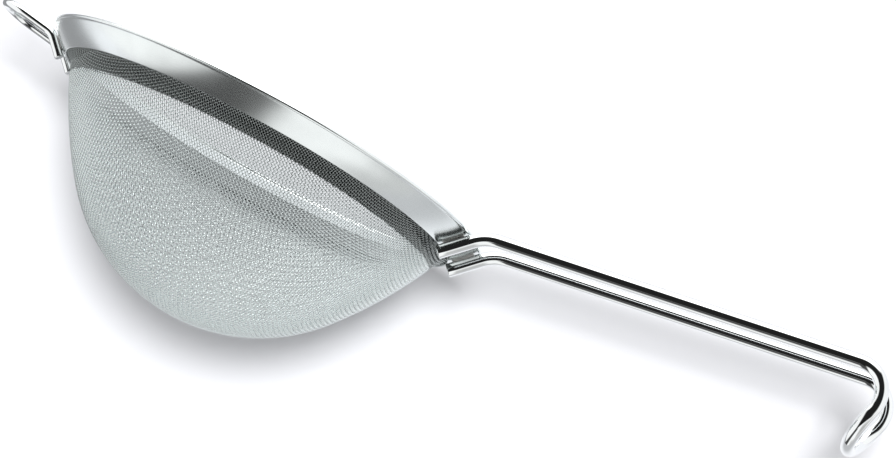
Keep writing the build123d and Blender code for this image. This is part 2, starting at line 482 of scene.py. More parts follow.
@dataclass
class Section:
    """The rim's section: concentric layers about one centre, all in millimetres.

    Attributes:
        rim_dia: Outside diameter of the rim.
        hem_dia: Thickness of the hem round its top edge.
        sheet: Thickness of the band's and the ring's sheet.
        band_radius: Arc radius of the band's outside face.
        top_lean: Lean of the arc at the band's top edge, in degrees.
        low_lean: Lean of the arc at its lower end, in degrees.
        cloth: Thickness of the woven cloth.
        seat_gap: Gap that stands for two surfaces pressed together.
        grip_arc: Length of arc on which the ring grips the cloth.
        flange: Length of the ring's straight flange.
    """

    rim_dia: float = 200.0
    hem_dia: float = 1.6
    sheet: float = 0.8
    band_radius: float = 48.5
    top_lean: float = 52.6
    low_lean: float = 36.8
    cloth: float = 0.9
    seat_gap: float = 0.05
    grip_arc: float = 3.1
    flange: float = 11.8

    @property
    def hem(self) -> tuple[float, float]:
        """Centre of the hem."""
        return (self.rim_dia - self.hem_dia) / 2, -self.hem_dia / 2

    @property
    def centre(self) -> Array:
        """Centre of all the layers' arcs."""
        middle, lean = self.band_radius - self.sheet / 2, math.radians(self.top_lean)
        return np.array(self.hem) + middle * np.array([-math.sin(lean), math.cos(lean)])

    @property
    def cloth_outer(self) -> float:
        """Arc radius of the cloth's outer face."""
        return self.band_radius - self.sheet - self.seat_gap

    @property
    def ring_outer(self) -> float:
        """Arc radius of the clamp ring's outer face."""
        return self.cloth_outer - self.cloth - self.seat_gap

    @property
    def ring_top_lean(self) -> float:
        """Lean of the arc, in degrees, at the clamp ring's top edge."""
        return self.low_lean + math.degrees(self.grip_arc / self.ring_outer)

    @property
    def ring_split(self) -> float:
        """Distance from the origin to the middle of the ring's sheet, square to its flange.

        Returns:
            The distance.
        """
        angle = math.radians(self.low_lean)
        middle = self.at(self.ring_outer - self.sheet / 2, self.low_lean)
        return float(middle[0] * math.sin(angle) - middle[1] * math.cos(angle))

    def at(self, rho: float, lean: float) -> Array:
        """Point at an arc radius and a lean in degrees."""
        angle = math.radians(lean)
        return self.centre + rho * np.array([math.sin(angle), -math.cos(angle)])

    def on_neck(self, rho: float, run: float) -> Array:
        """Point along the straight line that leaves an arc at its lower end."""
        return onward(self.at(rho, self.low_lean), -run, self.low_lean)

    def arc(self, rho: float, from_lean: float, to_lean: float, steps: int) -> Array:
        """Points of a layer's arc between two leans."""
        return arc(self.centre, rho, from_lean - 90, to_lean - 90, steps)


def rounded(outline: Array, corners: Sequence[int], reach: float, steps: int = 5) -> Array:
    """The outline with some corners rounded by a short curve.

    Args:
        outline: Closed outline, one point per row.
        corners: Numbers of the corners to round.
        reach: How far from the corner the curve starts and ends.
        steps: Points on each curve.

    Returns:
        The new outline.
    """
    points, count = [], len(outline)
    for number, corner in enumerate(outline):
        if number not in corners:
            points.append(corner)
            continue
        before = outline[number - 1] - corner
        after = outline[(number + 1) % count] - corner
        start = corner + before * min(0.5, reach / np.linalg.norm(before))
        end = corner + after * min(0.5, reach / np.linalg.norm(after))
        for share in np.linspace(0, 1, steps):
            points.append((1 - share) ** 2 * start + 2 * share * (1 - share) * corner + share ** 2 * end)
    return np.array(points)


@dataclass
class Rim:
    """The flared band with its hem, and the clamp ring inside it. Lengths are in millimetres.

    Attributes:
        section: The rim's section.
        turn_steps: Steps in a full turn.
        arc_steps: Points along the band's arc.
        hem_steps: Points round the hem.
        grip_steps: Points along the ring's grip.
        hem_gap: Turn, in degrees, left free on each side of the sheet where it runs into the hem.
        neck_gap: Turn, in degrees, by which the band's faces stop short of the hem.
        band_edge: Reach of the rounding at the band's lower edge.
        ring_edge: Reach of the rounding at the ring's edges.
    """

    section: Section = field(default_factory=Section)
    turn_steps: int = 384
    arc_steps: int = 20
    hem_steps: int = 22
    grip_steps: int = 8
    hem_gap: float = 12.0
    neck_gap: float = 0.9
    band_edge: float = 0.2
    ring_edge: float = 0.3

    def band(self) -> bpy.types.Object:
        """The band: two faces of the sheet and the round hem on its top edge.

        Returns:
            The new piece.
        """
        cut = self.section
        top = cut.top_lean - self.neck_gap
        hem_turn = 180 - math.degrees(math.asin(cut.sheet / cut.hem_dia)) - self.hem_gap
        outside = cut.arc(cut.band_radius, cut.low_lean, top, self.arc_steps)
        hem = arc(cut.hem, cut.hem_dia / 2, cut.top_lean - hem_turn, cut.top_lean + hem_turn, self.hem_steps)
        inside = cut.arc(cut.band_radius - cut.sheet, top, cut.low_lean, self.arc_steps)
        outline = np.concatenate([outside, hem, inside]) * MM
        outline = rounded(outline, (0, len(outline) - 1), self.band_edge * MM)
        return turned("rim_band_sheet", outline, self.turn_steps)

    def ring(self) -> bpy.types.Object:
        """The clamp ring: a gripping strip inside the band and a straight flange below it.

        Returns:
            The new piece.
        """
        cut = self.section
        outer, inner = cut.ring_outer, cut.ring_outer - cut.sheet
        outline = np.concatenate([
            [cut.on_neck(outer, cut.flange)],
            cut.arc(outer, cut.low_lean, cut.ring_top_lean, self.grip_steps),
            cut.arc(inner, cut.ring_top_lean, cut.low_lean, self.grip_steps),
            [cut.on_neck(inner, cut.flange)],
        ]) * MM
        corners = (0, self.grip_steps, self.grip_steps + 1, len(outline) - 1)
        return turned("clamp_ring_sheet", rounded(outline, corners, self.ring_edge * MM), self.turn_steps)

    def build(self) -> None:
        """Makes and dresses both pieces."""
        cut = self.section
        # the ring's finish, with painted shade on its outer face
        painted_shade_finish = replace(PAINTED_SHADE_RING, lean=cut.low_lean, split=cut.ring_split * MM)
        dress(self.band(), SHEET.material(), "polished_sheet", "rim_band")
        dress(self.ring(), painted_shade_finish.material(), "polished_sheet", "clamp_ring")


# Tubes


SHORT_SHARE = 0.05  # gaps under this share of the step are left out
RUN_STEPS = 4  # points of straight runs lie this many steps apart
SIDEWAYS = np.array([0.0, 1.0, 0.3])  # a direction that no bar runs along
BROKEN_EDGE = ((0.0, 1.0), (0.3, 0.3), (1.0, 0.0))  # shares of the edge along a bar and in from its side


def fillet_line(corners: Array, radii: Sequence[float], step: float) -> Array:
    """A polyline through straight runs joined by tangent arcs.

    Args:
        corners: End, corner and end points, one per row.
        radii: One radius for each inner corner.
        step: Spacing of the points along arcs.

    Returns:
        Points along the line.
    """
    points = [corners[0]]
    for number, radius in enumerate(radii, start=1):
        corner = corners[number]
        before = corners[number - 1] - corner
        after = corners[number + 1] - corner
        before, after = before / np.linalg.norm(before), after / np.linalg.norm(after)
        half = math.acos(float(np.clip(before @ after, -1, 1))) / 2
        middle = (before + after) / np.linalg.norm(before + after)
        centre = corner + middle * radius / math.sin(half)
        start = corner + before * radius / math.tan(half)
        turn = math.pi - 2 * half
        arm, way = (start - centre) / radius, -before
        for angle in np.linspace(0, turn, max(3, int(turn * radius / step))):
            points.append(centre + radius * (math.cos(angle) * arm + math.sin(angle) * way))
    points.append(corners[-1])
    full = [points[0]]
    for point in points[1:]:
        last = full[-1]
        gap = np.linalg.norm(point - last)
        if gap < step * SHORT_SHARE:
            continue
        parts = max(1, int(gap / (step * RUN_STEPS)))
        full.extend([last + (point - last) * share for share in np.linspace(0, 1, parts + 1)[1:]])
    return np.array(full)


def carried_normals(line: Array, first: Array) -> tuple[Array, Array]:
    """Directions across a line that turn as little as they can along it.

    Args:
        line: Points along the line.
        first: A direction across it at its start.

    Returns:
        The tangents and the carried directions.
    """
    tangents = np.gradient(line, axis=0)
    tangents /= np.linalg.norm(tangents, axis=1, keepdims=True)
    across = np.empty_like(line)
    across[0] = first - (first @ tangents[0]) * tangents[0]
    across[0] /= np.linalg.norm(across[0])
    for number in range(1, len(line)):
        side = across[number - 1] - (across[number - 1] @ tangents[number]) * tangents[number]
        across[number] = side / np.linalg.norm(side)
    return tangents, across


def spokes(across: Array, other: Array, angles: Array) -> Array:
    """Directions out from each point of a line, at angles in the plane of two directions."""
    return across[:, None] * np.cos(angles)[:, None] + other[:, None] * np.sin(angles)[:, None]


def bar_spokes(line: Array, sides: int) -> tuple[Array, Array]:
    """Directions out from each point of a bar's middle line.

    Args:
        line: Points along the line.
        sides: Directions at each point.

    Returns:
        The line's tangents and the directions.
    """
    tangents, across = carried_normals(line, SIDEWAYS)
    angles = np.linspace(0, 2 * np.pi, sides, endpoint=False)
    return tangents, spokes(across, np.cross(tangents, across), angles)


def closed_tube(index: Array) -> list[list[int]]:
    """Faces of a tube between rings of points, with its two ends last."""
    return joined(index).reshape(-1, 4).tolist() + [index[0][::-1].tolist(), index[-1].tolist()]


def rod(name: str, line: Array, radius: float, sides: int, edge: float) -> bpy.types.Object:
    """A round bar along a line, with sawn ends whose edges are broken.

    Args:
        name: The piece's name.
        line: Points along its middle, in metres.
        radius: Its radius.
        sides: Points round it.
        edge: Size of the broken edge at its ends.

    Returns:
        The new piece.
    """
    tangents, out = bar_spokes(line, sides)
    first = [
        line[0] + edge * on * tangents[0] + (radius - edge * less) * out[0]
        for on, less in BROKEN_EDGE
    ]
    last = [
        line[-1] - edge * on * tangents[-1] + (radius - edge * less) * out[-1]
        for on, less in reversed(BROKEN_EDGE)
    ]
    middle = [line[number] + radius * out[number] for number in range(1, len(line) - 1)]
    rings = [*first, *middle, *last]
    index = np.arange(len(rings) * sides).reshape(len(rings), sides)
    faces = closed_tube(index)
    piece = make_object(name, np.concatenate(rings), faces)
    round_faces = np.ones(len(faces), bool)
    round_faces[-2:] = False
    piece.data.polygons.foreach_set("use_smooth", round_faces)
    return piece


@dataclass(frozen=True)
class BeadShape:
    """Shape of a weld bead, its sizes as shares of the bar's thickness.

    Attributes:
        half_share: Half its length.
        reach_share: How far it lies from the leg's middle.
        stand_share: How far its middle stands off the band.
        radius_share: Its radius.
        taper: Power with which it thins towards its ends.
        tip_share: Share of its own section that is left at the ends.
        ripple_share: Share of its radius by which it swells and shrinks.
        ripple_turn: Turn of that swelling, in radians, in a millimetre.
        steps: Points along it.
        sides: Points round it.
    """

    half_share: float = 0.85
    reach_share: float = 0.25
    stand_share: float = 0.04
    radius_share: float = 0.1
    taper: int = 6
    tip_share: float = 0.02
    ripple_share: float = 0.05
    ripple_turn: float = 7.0
    steps: int = 40
    sides: int = 14

    def thickness(self, run: float, half: float) -> float:
        """The bead's radius at a run from its middle, as a share of the full one."""
        body = math.sqrt(max(self.tip_share, 1 - (run / half) ** self.taper))
        return body * (1 + self.ripple_share * math.sin(run * self.ripple_turn))


@dataclass
class BentPair:
    """A bar bent to two parallel legs: the handle or the pot rest. Lengths are in millimetres.

    Attributes:
        name: The bar's name as a piece.
        node: The node that it stands for.
        seams: The weld nodes, the one at -Y first.
        stock_dia: Thickness of the bar.
        spacing: Distance between the two legs' middles.
        leg_slope: Slope of the legs on the band, in degrees.
        leg_below: Leg below the middle of the weld.
        leg_above: Leg above it, up to the first bend.
        radii: Radii of one side's bends, from the leg on.
        rise: Slope of the straight part after the first bend, in degrees.
        side: 1 for a bar at +X, -1 for one at -X.
        step: Spacing of points along the bends.
        sides: Points round the bar.
        sawn_edge: Size of the broken edge at its ends.
        polish: How much the bar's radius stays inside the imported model's.
        weld_gap: Gap between leg and band, filled by the weld.
        section: The rim's section.
        bead: Shape of the weld beads.
    """

    name: str
    node: str
    seams: tuple[str, str]
    stock_dia: float
    spacing: float
    leg_slope: float
    leg_below: float
    leg_above: float
    radii: tuple[float, ...]
    rise: float
    side: int
    step: float
    sides: int
    sawn_edge: float
    polish: float = 0.0
    weld_gap: float = 0.15
    section: Section = field(default_factory=Section)
    bead: BeadShape = BeadShape()

    def leg_pass(self) -> Array:
        """Where a leg's middle line passes the middle of its weld.

        Returns:
            X and Z of that point.
        """
        cut = self.section
        off = self.stock_dia / 2 + self.weld_gap
        out, up = cut.at(cut.band_radius + off, (cut.top_lean + cut.low_lean) / 2)
        return np.array([math.sqrt(out ** 2 - (self.spacing / 2) ** 2), up])

    def corners(self) -> list[Array]:
        """X and Z of the first two corners: the leg's end and the first bend."""
        return [onward(self.leg_pass(), run, self.leg_slope) for run in (-self.leg_below, self.leg_above)]

    def line(self, corners: list[Array]) -> Array:
        """The bar's middle line, out along one side and back along the other.

        Args:
            corners: X and Z of one side's corners, the leg's end first.

        Returns:
            Points along the line, in metres.
        """
        there = [np.array([self.side * x, -self.spacing / 2, z]) for x, z in corners]
        back = [np.array([self.side * x, self.spacing / 2, z]) for x, z in reversed(corners)]
        return fillet_line(np.array(there + back), [*self.radii, *reversed(self.radii)], self.step) * MM

    def bead_line(self, hand: int, reach: float) -> tuple[Array, Array]:
        """The middle line of one weld bead, in the corner between a leg and the band.

        Args:
            hand: -1 for the leg at -Y, 1 for the one at +Y.
            reach: How far from the leg's middle the bead lies, towards +Y or, if negative, towards -Y.

        Returns:
            Points along the bead and its radius at each, in metres.
        """
        cut, bead = self.section, self.bead
        half = bead.half_share * self.stock_dia
        slope = slope_way(self.leg_slope)
        leg = np.array([self.side * slope[0], 0, slope[1]])
        points, radii = [], []
        for run in np.linspace(-half, half, bead.steps):
            x, z = self.leg_pass() + run * slope
            middle = np.array([self.side * x, hand * self.spacing / 2, z])
            from_axis = math.hypot(middle[0], middle[1])
            off = np.array([from_axis, z]) - cut.centre
            off /= np.linalg.norm(off)
            foot = cut.centre + cut.band_radius * off
            out = middle[:2] / from_axis
            normal = np.array([*(off[0] * out), off[1]])
            across = np.cross(normal, leg)
            across *= np.sign(across[1]) / np.linalg.norm(across)
            seat = np.array([*(foot[0] * out), foot[1]])
            points.append(seat + bead.stand_share * self.stock_dia * normal + reach * across)
            radii.append(bead.radius_share * self.stock_dia * bead.thickness(run, half))
        return np.array(points) * MM, np.array(radii) * MM

    def welds(self) -> None:
        """Makes and dresses the beads down both sides of each leg."""
        sides, count = self.bead.sides, self.bead.steps * self.bead.sides
        reach = self.bead.reach_share * self.stock_dia
        for hand, node in zip((-1, 1), self.seams):
            points, faces = [], []
            for number, where in enumerate((-reach, reach)):
                line, radii = self.bead_line(hand, where)
                out = bar_spokes(line, sides)[1]
                points.append((line[:, None] + out * radii[:, None, None]).reshape(-1, 3))
                faces += closed_tube(number * count + np.arange(count).reshape(-1, sides))
            piece = make_object(node + "_bead", np.concatenate(points), faces)
            dress(piece, SEAM.material(), "weld_seam", node)

    def make(self, corners: list[Array]) -> None:
        """Makes and dresses the bar and its welds.

        Args:
            corners: X and Z of one side's corners, the leg's end first.
        """
        radius = self.stock_dia / 2 - self.polish
        piece = rod(self.name, self.line(corners), radius * MM, self.sides, self.sawn_edge * MM)
        dress(piece, ROD.material(), "polished_rod", self.node)
        self.welds()


@dataclass
class Handle(BentPair):
    """The handle: two long bars, the hook at their end and the two legs on the band.

    Attributes:
        grip_length: Straight part from the first bend's corner to the hook.
        hook_turn: Turn of the bend into the hook, in degrees.
        hook_straight: Straight part between that bend and the end bend.
    """

    name: str = "handle_bar"
    node: str = "handle_rod"
    seams: tuple[str, str] = ("handle_weld_near", "handle_weld_far")
    stock_dia: float = 6.0
    spacing: float = 32.0
    leg_slope: float = 44.3
    leg_below: float = 7.8
    leg_above: float = 12.85
    radii: tuple[float, ...] = (18.0, 12.3, 15.5)
    rise: float = 8.46
    side: int = 1
    step: float = 0.9
    sides: int = 40
    sawn_edge: float = 0.4
    polish: float = 0.02
    grip_length: float = 162.4
    hook_turn: float = 114.0
    hook_straight: float = 1.26

    def build(self) -> None:
        """Makes the handle."""
        corners = self.corners()
        tangent = self.radii[1] * math.tan(math.radians(self.hook_turn / 2))
        corners.append(onward(corners[-1], self.grip_length + tangent, self.rise))
        drop = tangent + self.hook_straight + self.radii[2]
        corners.append(onward(corners[-1], drop, self.rise - self.hook_turn))
        self.make(corners)


@dataclass
class PotRest(BentPair):
    """The wire loop opposite the handle.

    Attributes:
        stand_out: How far the loop's middle line stands out past the rim.
    """

    name: str = "rest_loop_wire"
    node: str = "rest_loop"
    seams: tuple[str, str] = ("loop_weld_near", "loop_weld_far")
    stock_dia: float = 4.0
    spacing: float = 24.0
    leg_slope: float = 44.5
    leg_below: float = 6.2
    leg_above: float = 5.4
    radii: tuple[float, ...] = (8.0, 11.5)
    rise: float = 9.0
    side: int = -1
    step: float = 0.6
    sides: int = 32
    sawn_edge: float = 0.3
    stand_out: float = 25.8

    def build(self) -> None:
        """Makes the loop."""
        corners = self.corners()
        run = (self.section.rim_dia / 2 + self.stand_out - corners[-1][0]) / math.cos(math.radians(self.rise))
        corners.append(onward(corners[-1], run, self.rise))
        self.make(corners)


# Woven cloth


@dataclass
class Bowl:
    """The pressed shape of the cloth's middle surface, in millimetres.

    Attributes:
        radius: Radius of the round bottom, outside the cloth.
        depth: Depth of the bowl below the rim's top.
        turn_share: Where the bottom turns into the flank, as a share of the radius.
        neck_run: Straight run of cloth between the flank and the band.
        neck_share: How far up that run the middle surface has its point, as a share of it.
        notch_gap: Turn, in degrees, by which the flank's arc stops short of the neck.
        bottom_steps: Points along the bottom.
        flank_steps: Points along the flank.
        grip_steps: Points along the gripped edge.
        section: The rim's section.
    """

    radius: float = 77.4
    depth: float = 84.5
    turn_share: float = 0.775
    neck_run: float = 3.6
    neck_share: float = 1 / 3
    notch_gap: float = 0.15
    bottom_steps: int = 160
    flank_steps: int = 120
    grip_steps: int = 8
    section: Section = field(default_factory=Section)

    def meridian(self) -> tuple[Array, Array]:
        """The middle surface's meridian.

        Returns:
            Distances along it from the pole, and its points as distance from the axis and height.
        """
        cut, inset = self.section, self.section.cloth / 2
        bottom = np.array([0.0, self.radius - self.depth])
        turn_cos = math.sqrt(1 - self.turn_share ** 2)
        turn = bottom + self.radius * np.array([self.turn_share, -turn_cos])
        notch = cut.on_neck(cut.cloth_outer, self.neck_run)
        rise = notch - turn
        flank = (rise @ rise) / 2 / (rise[1] * turn_cos - rise[0] * self.turn_share)
        centre = turn + flank * np.array([-self.turn_share, turn_cos])
        turn_angle = math.degrees(math.atan2(-turn_cos, self.turn_share))
        notch_angle = math.degrees(math.atan2(notch[1] - centre[1], notch[0] - centre[0]))
        up_run = self.neck_run * (1 - self.neck_share)
        line = np.concatenate([
            arc(bottom, self.radius - inset, -90, turn_angle, self.bottom_steps),
            arc(centre, flank - inset, turn_angle, notch_angle - self.notch_gap, self.flank_steps)[1:],
            [cut.on_neck(cut.cloth_outer - inset, up_run)],
            cut.arc(cut.cloth_outer - inset, cut.low_lean, cut.ring_top_lean, self.grip_steps),
        ])
        lengths = np.concatenate([[0], np.cumsum(np.linalg.norm(np.diff(line, axis=0), axis=1))])
        return lengths, line


@dataclass
class Spans:
    """The short runs of tube that all the cloth's wires are made of.

    Attributes:
        points: Vertices of all the wires.
        faces: Vertex numbers of each span's faces, from its first ring to its second.
        first: True for the first span of each wire.
        last: True for the last span of each wire.
        wave: Direction of each span's wire, as the value of its Wave.
        bundle: Number of the bundle of each span's wire.
    """

    points: Array
    faces: Array
    first: Array
    last: Array
    wave: Array
    bundle: Array

    def part(self, chosen: Array) -> tuple[Array, list[list[int]]]:
        """The chosen spans, closed where the rest was left off.

        Args:
            chosen: True for the spans to keep.

        Returns:
            The vertices in use, and the faces counted among them.
        """
        starts = chosen & ~(np.concatenate([[False], chosen[:-1]]) & ~self.first)
        stops = chosen & ~(np.concatenate([chosen[1:], [False]]) & ~self.last)
        used = np.unique(self.faces[chosen])
        sheets = (
            self.faces[chosen].reshape(-1, 4),
            self.faces[starts][:, :, 0],
            self.faces[stops][:, ::-1, 1],
        )
        return self.points[used], [face for sheet in sheets for face in np.searchsorted(used, sheet).tolist()]


@dataclass
class Cloth:
    """Plain-woven wire cloth pressed to the bowl.

    Each wire is a real tube that goes over and under the wires it crosses. Lengths are in millimetres.

    Attributes:
        pitches: Spacing across the warp and across the weft, at the bottom of the bowl.
        crowding: How much closer the wires lie towards the rim.
        biases: Directions square to the warp and along it, at the bottom, in degrees from the handle.
        wire_dia: Thickness of the wires.
        sides: Points round each wire.
        crossing_steps: Points from one crossing to the next.
        edge_share: Least distance from a wire's end to its next point, as a share of the points' spacing.
        rim_share: Least distance from the outermost wire to the rim, as a share of the pitch.
        neck_low: Height above which the cloth lies close to the clamp ring and its wires get the painted
            shade.
        neck_lean: How much that height rises from the near side to the far side.
        bundles: How many pieces the wires of one direction make, the neck's own piece left out; so
            many that the export keeps every face.
        bowl: The pressed shape.
    """

    pitches: tuple[float, float] = (1.645, 1.45)
    crowding: float = 0.10
    biases: tuple[float, float] = (47.0, 53.0)
    wire_dia: float = 0.45
    sides: int = 5
    crossing_steps: int = 2
    edge_share: float = 0.3
    rim_share: float = 0.3
    neck_low: float = -16.2
    neck_lean: float = 0.01
    bundles: int = 3
    bowl: Bowl = field(default_factory=Bowl)

    def on_bowl(self, lay: Array) -> tuple[Array, Array]:
        """Where points of the flat cloth come to lie.

        Args:
            lay: Places on the flat cloth, counted in wires, one per row.

        Returns:
            Points on the middle surface and its outward normals there.
        """
        lengths, line = self.bowl.meridian()
        flat = lengths * (1 + self.crowding * (lengths / lengths[-1]) ** 2)
        first, second = (math.radians(angle) for angle in self.biases)
        axes = np.array([[math.cos(first), math.sin(first)], [-math.sin(second), math.cos(second)]])
        spots = (lay * np.array(self.pitches)) @ np.linalg.inv(axes).T
        reach, way = np.hypot(spots[:, 0], spots[:, 1]), np.arctan2(spots[:, 1], spots[:, 0])
        along = np.interp(reach, flat, lengths)
        slope = np.gradient(line, lengths, axis=0)
        out, up = (np.interp(along, lengths, line[:, number]) for number in (0, 1))
        slope_out, slope_up = (np.interp(along, lengths, slope[:, number]) for number in (0, 1))
        points = np.stack([out * np.cos(way), out * np.sin(way), up], axis=-1)
        normals = np.stack([slope_up * np.cos(way), slope_up * np.sin(way), -slope_out], axis=-1)
        return points, normals / np.linalg.norm(normals, axis=1, keepdims=True)

    def strands(self, wave: Wave) -> list[tuple[Array, Array]]:
        """The wires that run one way.

        Args:
            wave: Their direction.

        Returns:
            The middle line of each wire, and the cloth's normals along it.
        """
        lengths, _ = self.bowl.meridian()
        edge = float(lengths[-1] * (1 + self.crowding))
        skew = math.radians(self.biases[1] - self.biases[0])
        own, other = self.pitches if wave is Wave.WARP else self.pitches[::-1]
        last = int(edge / own - self.rim_share)
        found = []
        for number in range(-last, last + 1):
            half = math.sqrt(edge ** 2 - (number * own) ** 2)
            shift = wave.value * number * own * math.sin(skew)
            low, high = (shift - half) / other, (shift + half) / other
            start = math.ceil(low * self.crossing_steps + self.edge_share)
            stop = math.floor(high * self.crossing_steps - self.edge_share) + 1
            steps = np.concatenate([[low], np.arange(start, stop) / self.crossing_steps, [high]])
            fixed = np.full_like(steps, number)
            lay = np.stack([fixed, steps] if wave is Wave.WARP else [steps, fixed], axis=-1)
            points, normals = self.on_bowl(lay)
            swing = wave.value * np.cos(np.pi * (steps + number)) * self.wire_dia / 2
            found.append((points + normals * swing[:, None], normals))
        return found

    def tube(self, line: Array, normals: Array) -> Array:
        """The rings of points of one wire.

        Args:
            line: Its middle line.
            normals: The cloth's normals along it.

        Returns:
            Points, by place along the wire and place round it.
        """
        angles = np.linspace(0, 2 * np.pi, self.sides, endpoint=False) + np.pi / self.sides
        tangents = np.gradient(line, axis=0)
        tangents /= np.linalg.norm(tangents, axis=1, keepdims=True)
        across = np.cross(tangents, normals)
        across /= np.linalg.norm(across, axis=1, keepdims=True)
        return line[:, None] + self.wire_dia / 2 * spokes(across, np.cross(across, tangents), angles)

    def weave(self) -> Spans:
        """All the wires.

        Returns:
            Their spans.
        """
        points, faces, first, last, waves, bundles, start = [], [], [], [], [], [], 0
        for wave in Wave:
            strands = self.strands(wave)
            for number, (line, normals) in enumerate(strands):
                count = len(line) - 1
                if count < 2:
                    continue
                index = start + np.arange(len(line) * self.sides).reshape(len(line), self.sides)
                low, high = index[:-1], index[1:]
                sheet = [low, high, np.roll(high, -1, axis=1), np.roll(low, -1, axis=1)]
                points.append(self.tube(line, normals).reshape(-1, 3))
                faces.append(np.stack(sheet, axis=-1))
                first.append(np.arange(count) == 0)
                last.append(np.arange(count) == count - 1)
                waves.append(np.full(count, wave.value))
                bundles.append(np.full(count, number * self.bundles // len(strands)))
                start += len(line) * self.sides
        return Spans(*(np.concatenate(rows) for rows in (points, faces, first, last, waves, bundles)))

    def build(self) -> None:
        """Makes and dresses the wires in bundles, those at the neck apart in a darker finish that paints
        their shade.
        """
        bright, painted_shade_finish = WIRE.material(), PAINTED_SHADE_WIRE.material()
        spans = self.weave()
        middles = spans.points[spans.faces].mean(axis=(1, 2))
        # painted shade: the wires near the clamp ring get the darker finish
        painted_shade_mask = middles[:, 2] > self.neck_low + self.neck_lean * middles[:, 1]
        for wave in Wave:
            own = spans.wave == wave.value
            parts = [("neck", painted_shade_finish, own & painted_shade_mask)]
            for bundle in range(self.bundles):
                parts.append((str(bundle + 1), bright, own & ~painted_shade_mask & (spans.bundle == bundle)))
            for part, finish, chosen in parts:
                points, faces = spans.part(chosen)
                piece = make_object(f"wire_cloth_{wave.name.lower()}_{part}", points * MM, faces)
                dress(piece, finish, "woven_wire", "mesh_bowl")


# Studio


@dataclass
class Camera:
    """The place that the photograph was taken from, with its lens.

    Attributes:
        distance: Distance from the origin, in metres.
        azimuth: Turn round the upright axis, in degrees.
        elevation: Height of the view, in degrees.
        aim: The point in the picture's middle.
        roll: Turn of the picture about the line of sight, in degrees.
        focal_px: Focal length in pixels.
        width_px: Width of the picture in pixels.
        sensor_mm: Width of the film in millimetres.
    """

    distance: float = 2.78925
    azimuth: float = 14.898
    elevation: float = -8.938
    aim: tuple[float, float, float] = (0.08584, 0.0, -0.00065)
    roll: float = 28.874
    focal_px: float = 6744.1
    width_px: int = 896
    sensor_mm: float = 36.0

    def place(self) -> Vector:
        """Where the camera stands.

        Returns:
            The point, in metres.
        """
        azimuth, elevation = math.radians(self.azimuth), math.radians(self.elevation)
        level = math.cos(elevation)
        way = Vector((math.sin(azimuth) * level, -math.cos(azimuth) * level, math.sin(elevation)))
        return self.distance * way

    def axes(self) -> tuple[Vector, Vector, Vector]:
        """The camera's directions.

        Returns:
            Its right, up and backward directions.
        """
        roll = math.radians(self.roll)
        back = (self.place() - Vector(self.aim)).normalized()
        right = Vector((0, 0, 1)).cross(back).normalized()
        up = back.cross(right)
        rolled_right = math.cos(roll) * right + math.sin(roll) * up
        rolled_up = -math.sin(roll) * right + math.cos(roll) * up
        return rolled_right, rolled_up, back

    def build(self) -> None:
        """Sets the camera."""
        data = bpy.data.cameras.new("camera")
        data.sensor_width = self.sensor_mm
        data.lens = self.focal_px * self.sensor_mm / self.width_px
        camera = bpy.data.objects.new("camera", data)
        turned_to = Matrix(self.axes()).transposed().to_4x4()
        camera.matrix_world = Matrix.Translation(self.place()) @ turned_to
        bpy.context.scene.collection.objects.link(camera)
        bpy.context.scene.camera = camera


